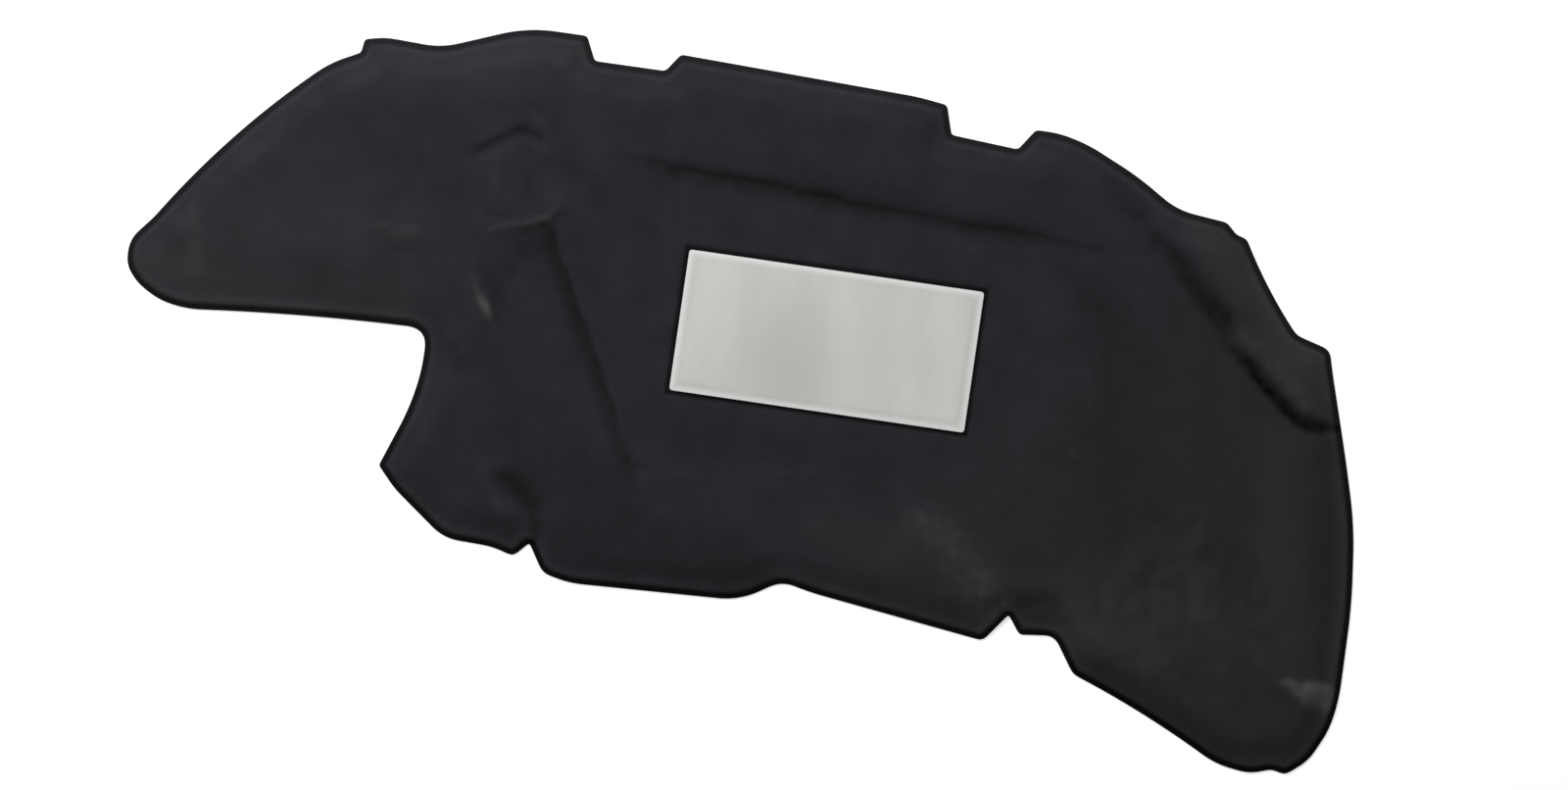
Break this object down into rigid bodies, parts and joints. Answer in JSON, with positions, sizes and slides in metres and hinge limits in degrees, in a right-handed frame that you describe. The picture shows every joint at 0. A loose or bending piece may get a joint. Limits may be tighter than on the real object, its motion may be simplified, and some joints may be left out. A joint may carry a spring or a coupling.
{
  "type": "hood insulation pad",
  "caption": "Moulded black fibre hood liner with a pressed rim, a sunk middle panel, edge notches and a glued foil patch.",
  "frame": {"origin": "middle of the outline's box, on the flat back face that the pad lies on", "axes": "+X along the foil patch's long edge, +Y towards the rear edge with the two clip notches, +Z out of the face that looks at the engine"},
  "size_m": [1.2884, 0.6464, 0.0172],
  "materials": {
    "black_felt": "matte non-woven",
    "dull_foil": "dull foil"
  },
  "bodies": {
    "root": {"insulation_pad": "black_felt", "heat_reflector_patch": "dull_foil"}
  },
  "joints": []
}
